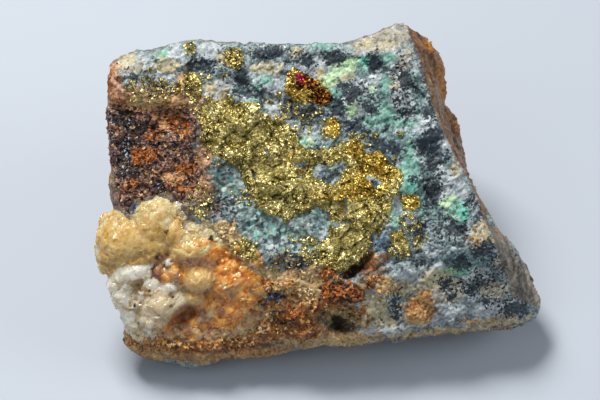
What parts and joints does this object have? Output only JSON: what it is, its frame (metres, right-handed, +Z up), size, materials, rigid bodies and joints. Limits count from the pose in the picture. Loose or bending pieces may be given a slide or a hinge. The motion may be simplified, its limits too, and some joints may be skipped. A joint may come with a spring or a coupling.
{
  "type": "chalcopyrite specimen",
  "caption": "Free-standing hand specimen of rock with brassy chalcopyrite, rounded honey quartz and rusty limonite on a tilted broken face; rests on a flat underside.",
  "frame": {"origin": "middle of the specimen's bounding box, on the surface it stands on", "axes": "+X to the right across the display face, +Y towards the back, +Z up; the display face looks towards -Y and upwards, 35 degrees from level"},
  "size_m": [0.094, 0.0638, 0.0538],
  "materials": {
    "host_rock": "matte",
    "chalcopyrite": "satin",
    "tarnished_chalcopyrite": "satin",
    "quartz": "gloss",
    "limonite": "matte"
  },
  "bodies": {
    "root": {"host_rock": "host_rock", "chalcopyrite_mass": "chalcopyrite", "chalcopyrite_tarnished": "tarnished_chalcopyrite", "chalcopyrite_top": "chalcopyrite", "chalcopyrite_west": "chalcopyrite", "chalcopyrite_amber": "tarnished_chalcopyrite", "chalcopyrite_east_upper": "tarnished_chalcopyrite", "chalcopyrite_east_lower": "chalcopyrite", "chalcopyrite_southwest": "chalcopyrite", "quartz_cluster": "quartz", "limonite_gossan": "limonite", "limonite_lump": "limonite"}
  },
  "joints": []
}
